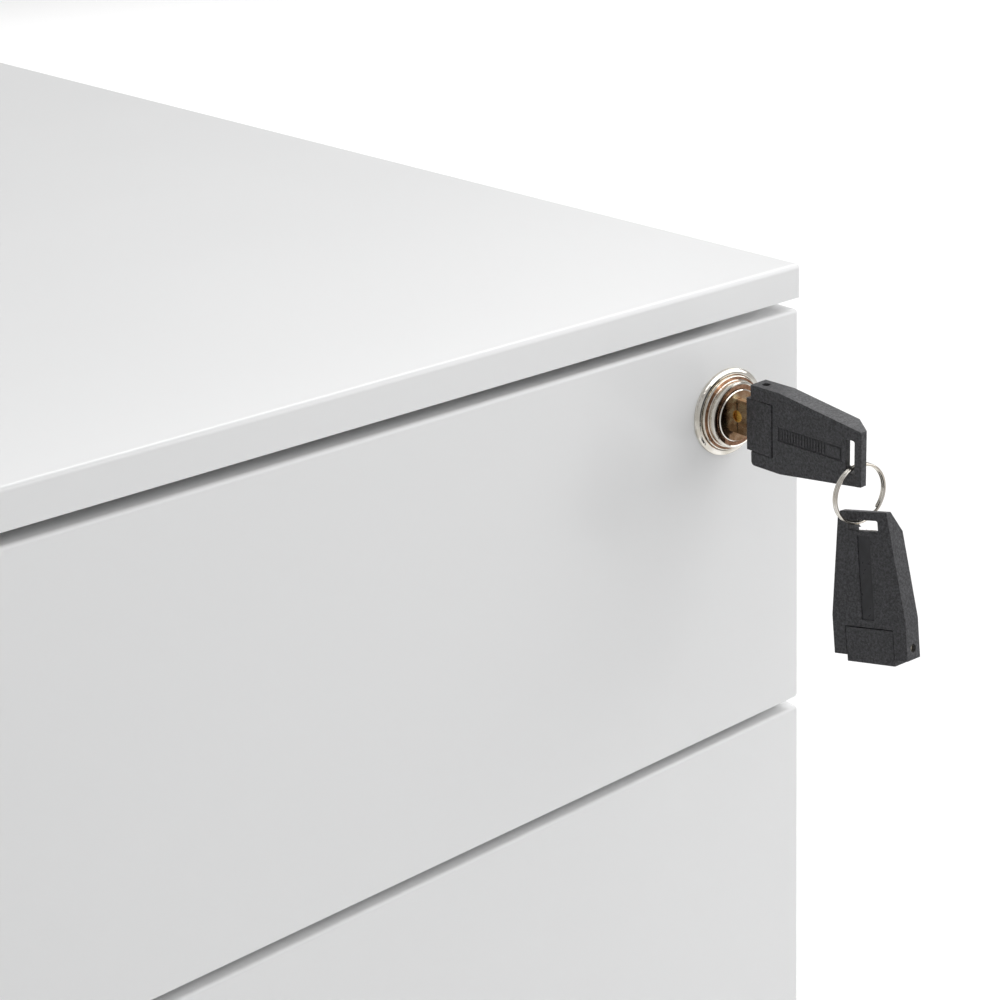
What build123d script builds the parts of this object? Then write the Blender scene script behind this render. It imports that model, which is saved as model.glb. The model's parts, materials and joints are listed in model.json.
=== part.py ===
from build123d import *
import math
import os

# A handle-less steel mobile pedestal: two box drawers over one filing drawer, a cam lock in the
# top drawer that lifts a locking bar, two folding keys on a split ring, and four twin castors.
# Millimetres, +Z up, front towards -Y. The origin is on the floor under the middle of the box
# that holds the whole object, keys included.

os.makedirs("parts", exist_ok=True)

# ---------------------------------------------------------------- driving dimensions
WIDTH = 420.0               # top panel, side to side
DEPTH = 600.0               # top panel, front to back
HEIGHT = 600.0              # floor to top surface
SHEET = 1.0                 # body sheet thickness
TOP_THICK = 10.0            # folded edge of the top panel
TOP_RADIUS = 1.6            # bend radius of the top panel's upper edge
KEY_REACH = 72.85           # how far the hanging key stands out in front of the top panel
OVERHANG = 0.6              # top panel past the drawer fronts, at the front and the sides

BOX_FRONT = 130.0           # height of the two upper fronts
FILE_FRONT = 266.0          # height of the filing drawer's front
TOP_GAP = 3.6               # shadow gap under the top panel
FRONT_GAP = 3.2             # shadow gap between fronts
PAN_DEPTH = 20.0            # depth of a folded front
FRONT_RADIUS = 1.2          # bend radius of a front's edges
SIDE_HEM = 12.0             # flange behind a front's side edge, where the fingers pull
END_HEM = 8.0               # flange behind a front's top and bottom edge
BODY_GAP = 2.0              # between closed fronts and the carcass

GRIP_DEPTH = 22.0           # finger channel behind the fronts, front to back
GRIP_WIDTH = 17.0           # the same, side to side
LIP = 9.0                   # front lip of a side panel
RUNNER_LENGTH = 500.0
RUNNER_HEIGHT = 45.0
RUNNER_THICK = 12.7
DRAWER_LENGTH = 530.0
DRAWER_RISE = 8.0           # drawer floor above the bottom of its front
BOX_WALL = 88.0             # wall height of the box drawers
FILE_WALL = 212.0           # wall height of the filing drawer

LOCK_INSET = 29.8           # lock axis from the top panel's right edge
LOCK_DROP = 38.2            # lock axis below the top surface
LOCK_REACH = 5.2            # plug face in front of the drawer front
LOCK_DEPTH = 19.0           # housing behind the drawer front
CRANK = 7.0                 # throw of the lock's crank pin
CRANK_PIN = 2.2             # its radius

HEAD_LENGTH = 37.8          # key head from the fold pin to its ring end
HEAD_TIP = 3.1              # fork tips ahead of the fold pin
HEAD_HALF = 12.1            # half width at the fork
HEAD_END_HALF = 7.9         # half width at the ring end
HEAD_THICK = 6.2
BLADE_THICK = 2.0
BLADE_LENGTH = 32.0         # fold pin to blade tip
PIN_OUT = 15.6              # fold pin in front of the top panel's edge

RING_RADIUS = 8.4           # split ring, middle of its wire
RING_WIRE = 0.45            # wire radius, two turns side by side
RING_PITCH = 0.82           # between the middles of the two turns

WHEEL_RADIUS = 22.0
CASTOR_TRAIL = 15.0
BASE_Z = 58.0               # underside of the base panel
SKIRT_Z = 54.0              # lower edge of the sides and of the lowest front

# ---------------------------------------------------------------- derived places
HALF = WIDTH / 2
FRONT_Y = -(DEPTH - KEY_REACH) / 2          # front edge of the top panel
BACK_Y = FRONT_Y + DEPTH
FACE_Y = FRONT_Y + OVERHANG                 # face of the drawer fronts
PAN_BACK = FACE_Y + PAN_DEPTH
BODY_Y = PAN_BACK + BODY_GAP                # front of the carcass
TOP_UNDER = HEIGHT - TOP_THICK
FRONT_HALF = HALF - OVERHANG
SIDE_X = FRONT_HALF                         # outer face of a side panel
WALL_X = SIDE_X - GRIP_WIDTH                # outer face of the side panel beside the channel
LIP_X = WALL_X - LIP                        # free edge of the front lip
RUNNER_X = LIP_X - 0.3                      # outer face of the runners
DRAWER_HALF = RUNNER_X - RUNNER_THICK       # outer face of a drawer's side
RUNNER_Y = BODY_Y + 4.0
INNER_BACK = BACK_Y - 3 * SHEET             # inner face of the back panel

LOCK_X = HALF - LOCK_INSET
LOCK_Z = HEIGHT - LOCK_DROP
PLUG_Y = FACE_Y - LOCK_REACH
CRANK_DROP = CRANK * math.sin(math.radians(45))
BAR_TRAVEL = 2 * CRANK_DROP

DRAWER_TOP_Z = TOP_UNDER - TOP_GAP
FRONT_1_Z = DRAWER_TOP_Z - BOX_FRONT
FRONT_2_Z = FRONT_1_Z - FRONT_GAP - BOX_FRONT
FRONT_3_Z = FRONT_2_Z - FRONT_GAP - FILE_FRONT
FRONTS = [(FRONT_1_Z, BOX_FRONT, BOX_WALL), (FRONT_2_Z, BOX_FRONT, BOX_WALL),
          (FRONT_3_Z, FILE_FRONT, FILE_WALL)]
BOTTOMS = [bottom for bottom, _, _ in FRONTS]
RUNNER_RISE = 36.0          # middle of a runner above the bottom of its front
CATCH_RISE = 68.0           # lower edge of a catch above the bottom of its front
CATCH_X = LIP_X + 2.5

REAR_FLANGE = 20.0          # flange of a side panel behind the back panel
REAR_SCREW_X = SIDE_X - REAR_FLANGE / 2
REAR_SCREW_ZS = (SKIRT_Z + 20.0, (SKIRT_Z + TOP_UNDER) / 2, TOP_UNDER - 20.0)
UPRIGHT_YS = (BODY_Y + 30.0, BODY_Y + 430.0)
UPRIGHT_WIDE = 36.0
SCREW_HEAD = 3.5
SCREW_SHANK = 1.9
SCREW_PLAY = 0.05
CASTOR_X = 160.0
CASTOR_YS = (BODY_Y + 52.0, BACK_Y - 62.0)
CASTOR_PLATE = 2.5
CASTOR_HOLES = 22.0         # half spacing of the castor plate's screws


def facing(y):
    """Plane seen from the front: local x is X, local y is Z. Extruding by -t goes back."""
    return Plane.XZ.offset(-y)


def seen_from_right(x):
    """Plane seen from the right: local x is Y, local y is Z. Extruding by +t goes right."""
    return Plane.YZ.offset(x)


# ---------------------------------------------------------------- carcass
def make_top_panel():
    with BuildPart() as top:
        with BuildSketch(Plane.XY.offset(TOP_UNDER)):
            with Locations((0, (FRONT_Y + BACK_Y) / 2)):
                RectangleRounded(WIDTH, DEPTH, TOP_RADIUS)
        extrude(amount=TOP_THICK)
        fillet(top.faces().sort_by(Axis.Z)[-1].edges(), TOP_RADIUS - 0.2)
        offset(amount=-SHEET, openings=top.faces().sort_by(Axis.Z)[0])
        with BuildSketch(Plane.XY.offset(TOP_UNDER)):
            with Locations((0, (FRONT_Y + BACK_Y) / 2)):
                RectangleRounded(WIDTH - SHEET, DEPTH - SHEET, TOP_RADIUS - SHEET / 2)
                Rectangle(WIDTH - 36, DEPTH - 36, mode=Mode.SUBTRACT)
        extrude(amount=SHEET)
    return top


def make_side_panel():
    """Right side: one sheet joggled inwards at the front for the finger channel."""
    channel_back = BODY_Y + GRIP_DEPTH
    with BuildPart() as side:
        with BuildSketch(Plane.XY.offset(SKIRT_Z)):
            with BuildLine():
                FilletPolyline(
                    (LIP_X, BODY_Y),
                    (WALL_X, BODY_Y),
                    (WALL_X, channel_back),
                    (SIDE_X, channel_back),
                    (SIDE_X, BACK_Y - SHEET),
                    (SIDE_X - REAR_FLANGE, BACK_Y - SHEET),
                    radius=1.6,
                )
                offset(amount=SHEET, side=Side.LEFT)
            make_face()
        extrude(amount=TOP_UNDER - SKIRT_Z)
        with BuildSketch(Plane.XY.offset(TOP_UNDER - SHEET)):
            with Locations((SIDE_X - 9.5, (channel_back + BACK_Y) / 2 + 2)):
                Rectangle(17.9, BACK_Y - channel_back - 14)
        extrude(amount=SHEET)
        # windows in the lip for the drawer catches
        for bottom in BOTTOMS:
            with BuildSketch(facing(BODY_Y - 1)):
                with Locations((LIP_X - 1, bottom + CATCH_RISE - 3)):
                    Rectangle(8.4, 20, align=(Align.MIN, Align.MIN))
            extrude(amount=-3, mode=Mode.SUBTRACT)
        # screw holes of the back panel
        with BuildSketch(facing(BACK_Y)):
            with Locations(*[(REAR_SCREW_X, z) for z in REAR_SCREW_ZS]):
                Circle(SCREW_SHANK)
        extrude(amount=3, mode=Mode.SUBTRACT)
    return side


def cut_lock_window(side):
    """The right lip also opens for the lock's crank pin."""
    with BuildPart() as cut:
        add(side.part)
        with BuildSketch(facing(BODY_Y - 1)):
            with Locations((LIP_X - 1, LOCK_Z)):
                Rectangle(8.4, 22, align=(Align.MIN, Align.CENTER))
        extrude(amount=-3, mode=Mode.SUBTRACT)
    return cut


def make_back_panel():
    with BuildPart() as back:
        with BuildSketch(facing(BACK_Y - 2 * SHEET)):
            with Locations((0, (SKIRT_Z + TOP_UNDER) / 2)):
                Rectangle(2 * (SIDE_X - 1.6), TOP_UNDER - SKIRT_Z - 2)
            with Locations(*[(s * REAR_SCREW_X, z) for s in (-1, 1) for z in REAR_SCREW_ZS]):
                Circle(SCREW_SHANK, mode=Mode.SUBTRACT)
        extrude(amount=SHEET)
        # two pressed stiffening beads stand out to the rear
        with BuildSketch(facing(BACK_Y - 2 * SHEET)):
            with Locations((-75, 322), (75, 322)):
                SlotOverall(420, 16, rotation=90)
        extrude(amount=-0.9, taper=30)
    return back


def make_base_panel():
    front = BODY_Y + GRIP_DEPTH + 2
    back = INNER_BACK - 0.1
    middle = (front + back) / 2
    wide = 2 * (SIDE_X - SHEET - 0.1)
    with BuildPart() as base:
        with BuildSketch(Plane.XY.offset(BASE_Z)):
            with Locations((0, middle)):
                Rectangle(wide, back - front)
            with Locations(*castor_screw_places()):
                Circle(SCREW_SHANK, mode=Mode.SUBTRACT)
        extrude(amount=SHEET)
        with BuildSketch(Plane.XY.offset(BASE_Z)):
            with Locations((0, middle)):
                Rectangle(wide, back - front)
                Rectangle(wide - 2 * SHEET, back - front, mode=Mode.SUBTRACT)
        extrude(amount=14)
    return base


def make_cross_rails():
    """Two channels between the side panels, one under the top and one at the floor."""
    length = 2 * (WALL_X - SHEET - 0.7)
    deep = GRIP_DEPTH - SHEET - 0.1
    with BuildPart() as rails:
        for low, high in ((TOP_UNDER - 10, TOP_UNDER), (SKIRT_Z + 0.5, SKIRT_Z + 8)):
            with BuildSketch(seen_from_right(-length / 2)):
                with Locations((BODY_Y + SHEET + 0.1, low)):
                    Rectangle(deep, high - low, align=(Align.MIN, Align.MIN))
                with Locations((BODY_Y + 2 * SHEET + 0.1, low - SHEET)):
                    Rectangle(deep - 2 * SHEET, high - low, align=(Align.MIN, Align.MIN),
                              mode=Mode.SUBTRACT)
            extrude(amount=length)
    return rails


def make_runner_uprights():
    with BuildPart() as uprights:
        for s in (-1, 1):
            for y in UPRIGHT_YS:
                with BuildSketch(Plane.XY.offset(BASE_Z + 16)):
                    with Locations((s * (RUNNER_X + SIDE_X - SHEET) / 2, y + UPRIGHT_WIDE / 2)):
                        deep = SIDE_X - SHEET - RUNNER_X
                        Rectangle(deep, UPRIGHT_WIDE)
                    with Locations((s * (RUNNER_X + 1 + SIDE_X) / 2, y + UPRIGHT_WIDE / 2)):
                        Rectangle(SIDE_X - RUNNER_X - 1, UPRIGHT_WIDE - 2.4, mode=Mode.SUBTRACT)
                extrude(amount=TOP_UNDER - BASE_Z - 20)
        for s in (-1, 1):
            with BuildSketch(seen_from_right(s * (RUNNER_X + 0.5))):
                with Locations(*runner_screw_places()):
                    Circle(SCREW_SHANK)
            extrude(amount=3, both=True, mode=Mode.SUBTRACT)
    return uprights


def castor_places():
    return [(x, y) for y in CASTOR_YS for x in (-CASTOR_X, CASTOR_X)]


def castor_screw_places():
    corners = [(sx * CASTOR_HOLES, sy * CASTOR_HOLES) for sx in (-1, 1) for sy in (-1, 1)]
    return [(x + dx, y + dy) for x, y in castor_places() for dx, dy in corners]


def runner_screw_places():
    """Places (Y, Z) of the screws that hold the runners to the uprights."""
    return [(y + UPRIGHT_WIDE / 2, bottom + RUNNER_RISE)
            for y in UPRIGHT_YS for bottom in BOTTOMS]


def make_castor_plates():
    """Pressed plate with a kingpin, one over each castor."""
    with BuildPart() as plates:
        with BuildSketch(Plane.XY.offset(BASE_Z - CASTOR_PLATE)):
            with Locations(*castor_places()):
                RectangleRounded(56, 56, 6)
            with Locations(*castor_screw_places()):
                Circle(SCREW_SHANK, mode=Mode.SUBTRACT)
        extrude(amount=CASTOR_PLATE)
        with BuildSketch(Plane.XY.offset(BASE_Z - CASTOR_PLATE)):
            with Locations(*castor_places()):
                Circle(4.0)
        extrude(amount=-9)
    return plates


def make_buffers():
    """Rubber stops on the front lips: two on each side of each drawer."""
    with BuildPart() as buffers:
        for bottom, height, _ in FRONTS:
            places = [(s * (LIP_X + 4.5), z) for s in (-1, 1)
                      for z in (bottom + 14, bottom + height - 40)]
            with BuildSketch(facing(BODY_Y)):
                with Locations(*places):
                    Circle(3.6)
            extrude(amount=BODY_GAP + SHEET - 0.1, taper=8)
    return buffers


def make_screws():
    """Pan-head screws: back panel, runners and castor plates."""
    with BuildPart() as screws:
        with BuildSketch(facing(BACK_Y - SHEET)):
            with Locations(*[(s * REAR_SCREW_X, z) for s in (-1, 1) for z in REAR_SCREW_ZS]):
                Circle(SCREW_HEAD)
        extrude(amount=-0.9, taper=20)
        with BuildSketch(facing(BACK_Y - SHEET)):
            with Locations(*[(s * REAR_SCREW_X, z) for s in (-1, 1) for z in REAR_SCREW_ZS]):
                Circle(SCREW_SHANK - SCREW_PLAY)
        extrude(amount=6)
        for s in (-1, 1):
            inside = s * (RUNNER_X - RUNNER_STEEL)
            with BuildSketch(seen_from_right(inside)):
                with Locations(*runner_screw_places()):
                    Circle(SCREW_HEAD)
            extrude(amount=-1.6 * s, taper=20)
            with BuildSketch(seen_from_right(inside)):
                with Locations(*runner_screw_places()):
                    Circle(SCREW_SHANK - SCREW_PLAY)
            extrude(amount=6 * s)
        with BuildSketch(Plane.XY.offset(BASE_Z - CASTOR_PLATE)):
            with Locations(*castor_screw_places()):
                Circle(SCREW_HEAD)
        extrude(amount=-1.6, taper=20)
        with BuildSketch(Plane.XY.offset(BASE_Z - CASTOR_PLATE)):
            with Locations(*castor_screw_places()):
                Circle(SCREW_SHANK - SCREW_PLAY)
        extrude(amount=5.5)
    return screws


# ---------------------------------------------------------------- locking bar
BAR_X = WALL_X - SHEET - 0.3                # outer face of the bar
BAR_THICK = 1.5
BAR_LOW = FRONT_3_Z + CATCH_RISE - 30
YOKE_Z = LOCK_Z - CRANK_DROP                # crank pin's height when unlocked


def make_lock_bar():
    with BuildPart() as bar:
        with BuildSketch(seen_from_right(BAR_X)):
            with Locations((BODY_Y + 4, BAR_LOW)):
                Rectangle(12, YOKE_Z + 10 - BAR_LOW, align=(Align.MIN, Align.MIN))
        extrude(amount=-BAR_THICK)
        # yoke plate with the crank pin's slot
        with BuildSketch(facing(BODY_Y + 4)):
            with Locations((BAR_X, YOKE_Z)):
                Rectangle(14, 20, align=(Align.MAX, Align.CENTER))
            with Locations((BAR_X - 1.7, YOKE_Z)):
                Rectangle(9, 2 * CRANK_PIN + 1.2, align=(Align.MAX, Align.CENTER),
                          mode=Mode.SUBTRACT)
        extrude(amount=-2)
        # one tooth below each drawer's catch
        for bottom in BOTTOMS:
            with BuildSketch(facing(BODY_Y + 8)):
                with Locations((BAR_X - 0.5, bottom + CATCH_RISE - 2)):
                    Rectangle(6.3, 8, align=(Align.MAX, Align.MAX))
            extrude(amount=-2)
    return bar


def make_bar_guides():
    """Channel clips that hold the locking bar against the side panel."""
    with BuildPart() as guides:
        for z in (FRONT_3_Z + 46, FRONT_2_Z + 30, FRONT_1_Z + 30):
            with BuildSketch(Plane.XY.offset(z)):
                with Locations((WALL_X - SHEET, BODY_Y + 10)):
                    Rectangle(3.3, 15.6, align=(Align.MAX, Align.CENTER))
                    Rectangle(2.1, 12.6, align=(Align.MAX, Align.CENTER), mode=Mode.SUBTRACT)
            extrude(amount=12)
    return guides


# ---------------------------------------------------------------- runners
FIXED_FLANGE = 9.2          # widths of the three nested channels
MIDDLE_FLANGE = 6.4
DRAWER_FLANGE = 6.2
MIDDLE_HALF = 17.6          # half heights of the two moving ones
DRAWER_MEMBER_HALF = 12.2
MIDDLE_INSET = 4.2          # middle channel inside the fixed one's outer face
RUNNER_STEEL = 1.2


def make_runner(bottoms, web_out, flange, half_high, opens_in, hole_ys=()):
    """Steel channels along Y for both sides of the given drawers.

    web_out is the outer face of the channel and flange its width. opens_in says that the
    channel opens towards the drawer, otherwise it opens outwards.
    """
    thick = RUNNER_STEEL
    with BuildPart() as runner:
        for bottom in bottoms:
            z = bottom + RUNNER_RISE
            for s in (-1, 1):
                if opens_in:
                    hollow = s * (web_out - thick - flange / 2)
                else:
                    hollow = s * (web_out - flange / 2 + thick)
                with BuildSketch(facing(RUNNER_Y)):
                    with Locations((s * (web_out - flange / 2), z)):
                        Rectangle(flange, 2 * half_high)
                    with Locations((hollow, z)):
                        Rectangle(flange + (0 if opens_in else thick), 2 * (half_high - thick),
                                  mode=Mode.SUBTRACT)
                extrude(amount=-RUNNER_LENGTH)
        if hole_ys:
            with BuildSketch(seen_from_right(-SIDE_X)):
                with Locations(*[(y, b + RUNNER_RISE) for y in hole_ys for b in bottoms]):
                    Circle(SCREW_SHANK)
            extrude(amount=2 * SIDE_X, mode=Mode.SUBTRACT)
    return runner


# ---------------------------------------------------------------- drawers
def make_front(bottom, height, has_lock):
    middle = bottom + height / 2
    with BuildPart() as front:
        with BuildSketch(facing(FACE_Y)):
            with Locations((0, middle)):
                RectangleRounded(2 * FRONT_HALF, height, FRONT_RADIUS + 0.3)
        extrude(amount=-PAN_DEPTH)
        fillet(front.faces().sort_by(Axis.Y)[0].edges(), FRONT_RADIUS)
        offset(amount=-SHEET, openings=front.faces().sort_by(Axis.Y)[-1])
        with BuildSketch(facing(PAN_BACK)):
            with Locations((0, middle)):
                Rectangle(2 * FRONT_HALF - SHEET, height - SHEET)
                Rectangle(2 * (FRONT_HALF - SIDE_HEM), height - 2 * END_HEM, mode=Mode.SUBTRACT)
        extrude(amount=SHEET)
        if has_lock:
            with BuildSketch(facing(FACE_Y - 1)):
                with Locations((LOCK_X, LOCK_Z)):
                    Circle(9.6)
            extrude(amount=-4, mode=Mode.SUBTRACT)
    return front


def make_liner(bottom, height, has_lock):
    """Flat plate inside the front that the drawer's body is fixed to."""
    with BuildPart() as liner:
        with BuildSketch(facing(PAN_BACK - SHEET)):
            with Locations((0, bottom + height / 2)):
                Rectangle(2 * (FRONT_HALF - SHEET - 0.2), height - 2 * SHEET - 0.4)
            if has_lock:
                with Locations((LOCK_X, LOCK_Z)):
                    Circle(9.8, mode=Mode.SUBTRACT)
        extrude(amount=SHEET)
    return liner


def make_body(bottom, wall, slots):
    """Folded steel tray with in-turned rims, and slots for dividers in the box drawers."""
    low = bottom + DRAWER_RISE
    start = PAN_BACK - SHEET
    with BuildPart() as body:
        with BuildSketch(Plane.XY.offset(low)):
            with Locations((0, start + DRAWER_LENGTH / 2)):
                Rectangle(2 * DRAWER_HALF, DRAWER_LENGTH)
        extrude(amount=wall)
        offset(amount=-SHEET, openings=body.faces().sort_by(Axis.Z)[-1])
        with BuildSketch(Plane.XY.offset(low + wall)):
            with Locations((0, start + DRAWER_LENGTH / 2)):
                Rectangle(2 * DRAWER_HALF, DRAWER_LENGTH)
                Rectangle(2 * DRAWER_HALF - 12, DRAWER_LENGTH - 2 * SHEET, mode=Mode.SUBTRACT)
        extrude(amount=-SHEET)
        if slots:
            with BuildSketch(seen_from_right(-DRAWER_HALF - 1)):
                with Locations((start + 310, low + wall / 2 + 8)):
                    with GridLocations(32, 1, 12, 1):
                        SlotOverall(34, 2.4, rotation=90)
            extrude(amount=2 * DRAWER_HALF + 2, mode=Mode.SUBTRACT)
    return body


def make_catch(bottom):
    """Hook behind the front's right end, notched from below for the locking bar's tooth."""
    z = bottom + CATCH_RISE
    with BuildPart() as catch:
        with BuildSketch(facing(PAN_BACK - SHEET)):
            with Locations((CATCH_X + 2, z)):
                Rectangle(16, 14, align=(Align.MAX, Align.MIN))
        extrude(amount=-1.5)
        with BuildSketch(seen_from_right(CATCH_X)):
            with Locations((PAN_BACK - SHEET, z)):
                Rectangle(18, 14, align=(Align.MIN, Align.MIN))
            with Locations((BODY_Y + 6.2, z - 1)):
                Rectangle(5.6, 10.2, align=(Align.MIN, Align.MIN), mode=Mode.SUBTRACT)
        extrude(amount=2)
    return catch


TRAY_DEEP = 96.0
TRAY_TALL = 24.0
TRAY_WALL = 1.6
TRAY_FLOOR_Z = FRONT_1_Z + DRAWER_RISE + BOX_WALL - TRAY_TALL + 2
TRAY_START = PAN_BACK + 1.0
# compartments as (left, right, front, back) inside the tray's outline
TRAY_HALF = DRAWER_HALF - 8.0
TRAY_POCKETS = [
    (-TRAY_HALF + 2, -56.0, 2.0, 94.0),
    (-54.4, 12.0, 2.0, 94.0),
    (13.6, TRAY_HALF - 2, 2.0, 30.4),
    (13.6, TRAY_HALF - 2, 32.0, 62.0),
    (13.6, TRAY_HALF - 2, 63.6, 94.0),
]


def make_pencil_tray():
    """Moulded tray that hangs by its side rims on the top drawer's rims."""
    with BuildPart() as tray:
        with BuildSketch(Plane.XY.offset(TRAY_FLOOR_Z)):
            with Locations((0, TRAY_START)):
                Rectangle(2 * TRAY_HALF, TRAY_DEEP, align=(Align.CENTER, Align.MIN))
        extrude(amount=TRAY_TALL)
        with BuildSketch(Plane.XY.offset(TRAY_FLOOR_Z + TRAY_TALL)):
            with Locations((0, TRAY_START)):
                Rectangle(2 * DRAWER_HALF - 3, TRAY_DEEP, align=(Align.CENTER, Align.MIN))
        extrude(amount=-1.9)
        for left, right, near, far in TRAY_POCKETS:
            with BuildSketch(Plane.XY.offset(TRAY_FLOOR_Z + TRAY_TALL)):
                with Locations(((left + right) / 2, TRAY_START + (near + far) / 2)):
                    RectangleRounded(right - left, far - near, 5)
            extrude(amount=-(TRAY_TALL - TRAY_WALL), taper=4, mode=Mode.SUBTRACT)
    return tray


def make_hanging_rails():
    """Two bars on the filing drawer's rims that carry suspension files."""
    top = FRONT_3_Z + DRAWER_RISE + FILE_WALL
    with BuildPart() as rails:
        for s in (-1, 1):
            with BuildSketch(facing(PAN_BACK + 0.5)):
                with Locations((s * (DRAWER_HALF - 4.0), top)):
                    Rectangle(5.0, SHEET, align=(Align.CENTER, Align.MIN))
                with Locations((s * (DRAWER_HALF - 2.25), top)):
                    Rectangle(1.5, 11, align=(Align.CENTER, Align.MIN))
            extrude(amount=-(DRAWER_LENGTH - 4))
    return rails


# ---------------------------------------------------------------- lock
BORE = 7.25                 # housing bore; the plug's barrel runs in it
BARREL = 7.2
PLUG_FACE = 7.75            # plug's head over the housing
PLUG_SEAT = 3.85            # underside of that head over the front
THREAD = 9.5                # housing's outside behind the front
KEYWAY_LONG = 8.2
CAM_RADIUS = 9.6
CAM_THICK = 2.0
CAM_Y = FACE_Y + LOCK_DEPTH + 0.2
TAIL_SCREW = 2.0            # radius of the screw that holds the cam


def lock_ring(points):
    """Revolve a profile of (radius, height over the front) about the lock's axis."""
    with BuildPart() as ring:
        with BuildSketch(Plane(origin=(LOCK_X, FACE_Y, LOCK_Z), x_dir=(1, 0, 0), z_dir=(0, 0, 1))):
            with BuildLine():
                outline = [(radius, -height) for radius, height in points]
                Polyline(*outline, close=True)
            make_face()
        revolve(axis=Axis((LOCK_X, FACE_Y, LOCK_Z), (0, 1, 0)))
    return ring


def make_rosette():
    """Stepped cover ring seated on the front."""
    return lock_ring([(9.62, 0.05), (13.1, 0.05), (13.1, 0.45), (12.95, 0.8), (12.6, 1.05),
                      (12.1, 1.25), (11.6, 1.35), (11.4, 1.3), (11.3, 1.05), (11.2, 1.05),
                      (11.15, 1.8), (11.05, 2.0), (10.85, 2.1), (9.62, 2.1)])


def make_housing():
    """Threaded barrel with a raised bezel, bored for the plug."""
    return lock_ring([(BORE, -LOCK_DEPTH), (THREAD, -LOCK_DEPTH), (THREAD, 2.15), (10.1, 2.15),
                      (10.1, 2.6), (9.9, 2.8), (9.9, 4.0), (9.8, 4.4), (9.55, 4.7), (9.3, 4.75),
                      (9.1, 4.6), (8.0, 4.55), (7.95, 3.8), (BORE, 3.8)])


def make_lock_nut():
    with BuildPart() as nut:
        with BuildSketch(facing(FACE_Y + SHEET)):
            with Locations((LOCK_X, LOCK_Z)):
                RegularPolygon(12.0, 6, major_radius=False)
                Circle(THREAD + 0.05, mode=Mode.SUBTRACT)
        extrude(amount=-4)
        chamfer(nut.faces().sort_by(Axis.Y)[-1].outer_wire().edges(), 0.6)
    return nut


def make_plug():
    """Plug with its keyway and a bevelled rim over the housing's bore."""
    with BuildPart() as plug:
        with BuildSketch(facing(PLUG_Y)):
            with Locations((LOCK_X, LOCK_Z)):
                Circle(PLUG_FACE)
        extrude(amount=-(LOCK_REACH - PLUG_SEAT))
        chamfer(plug.faces().sort_by(Axis.Y)[0].outer_wire().edges(), 0.25)
        with BuildSketch(facing(PLUG_Y)):
            with Locations((LOCK_X, LOCK_Z)):
                Circle(BARREL)
        extrude(amount=-(LOCK_REACH + LOCK_DEPTH + 0.2))
        with BuildSketch(facing(PLUG_Y)):
            with Locations((LOCK_X, LOCK_Z)):
                Rectangle(BLADE_THICK + 0.4, KEYWAY_LONG)
        extrude(amount=-(LOCK_REACH + LOCK_DEPTH - 3), mode=Mode.SUBTRACT)
    return plug


def make_cam():
    """Plate on the plug's tail with the crank pin that works the locking bar."""
    with BuildPart() as cam:
        with BuildSketch(facing(CAM_Y)):
            with Locations((LOCK_X, LOCK_Z)):
                Circle(CAM_RADIUS)
                Circle(TAIL_SCREW + 0.05, mode=Mode.SUBTRACT)
        extrude(amount=-CAM_THICK)
        with BuildSketch(facing(CAM_Y)):
            with Locations((LOCK_X + CRANK_DROP, LOCK_Z - CRANK_DROP)):
                Circle(CRANK_PIN)
        extrude(amount=-(BODY_Y + 8 - CAM_Y))
    return cam


def make_cam_screw():
    with BuildPart() as screw:
        with BuildSketch(facing(CAM_Y + CAM_THICK)):
            with Locations((LOCK_X, LOCK_Z)):
                Circle(3.6)
        extrude(amount=-1.8, taper=15)
        with BuildSketch(facing(CAM_Y + CAM_THICK)):
            with Locations((LOCK_X, LOCK_Z)):
                Circle(TAIL_SCREW)
        extrude(amount=CAM_THICK)
        with BuildSketch(facing(CAM_Y + 3.8)):
            with Locations((LOCK_X, LOCK_Z)):
                Rectangle(5, 0.9)
        extrude(amount=0.8, mode=Mode.SUBTRACT)
    return screw


# ---------------------------------------------------------------- keys
# Each key is drawn in its own frame: the origin is the fold pin, local x runs to the ring end,
# local y is the pin's direction and local z leaves the plain face. A closed key's blade lies
# back along local x.
ARM_HALF = 7.95             # half width of the fork's gap
FORK_ROOT = 6.1             # radius of the hollow at the fork's root
BLOCK_HALF = 5.0            # hinge block, from the fold pin either way along the key
BLOCK_EDGE = 0.25
SLOT_PLACE = HEAD_LENGTH - 3.9
SLOT_WIDE = 3.1
SLOT_LONG = 9.8
SLOT_CORNER = 0.6
BEVEL_LONG = 6.0
END_THICK = 2.2
TAPER_START = 8.0
CORNER = 1.2                # rounding of the head's outline at the ring end
TIP_CORNER = 0.8            # and at the fork's tips
GROOVE_HALF = 5.6           # blade groove in the rear face
PANEL_HALF = 2.1            # shallow panel in the plain face
PANEL_DEEP = 0.3
PIN_RADIUS = 1.15
PIN_HOLE = 1.2


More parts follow.
